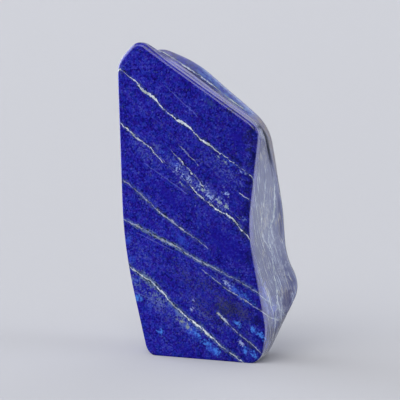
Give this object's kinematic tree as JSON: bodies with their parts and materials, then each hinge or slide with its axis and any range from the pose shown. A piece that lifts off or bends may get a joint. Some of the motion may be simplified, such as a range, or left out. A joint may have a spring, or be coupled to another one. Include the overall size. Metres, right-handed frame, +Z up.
{
  "type": "polished lapis lazuli freeform",
  "caption": "Free-standing lapis lazuli stone: flat polished front face, ledge and groove along the sloping top, waisted side, rounded back and a flat foot.",
  "frame": {"origin": "middle of the box that holds the stone, in plan, on the surface that it stands on", "axes": "+Z up along the stone's height, -Y out of the flat polished front face, +X to the right as seen from the front"},
  "size_m": [0.1076, 0.057, 0.1993],
  "materials": {
    "lapis": "polished"
  },
  "bodies": {
    "root": {"lapis_stone": "lapis"}
  },
  "joints": []
}
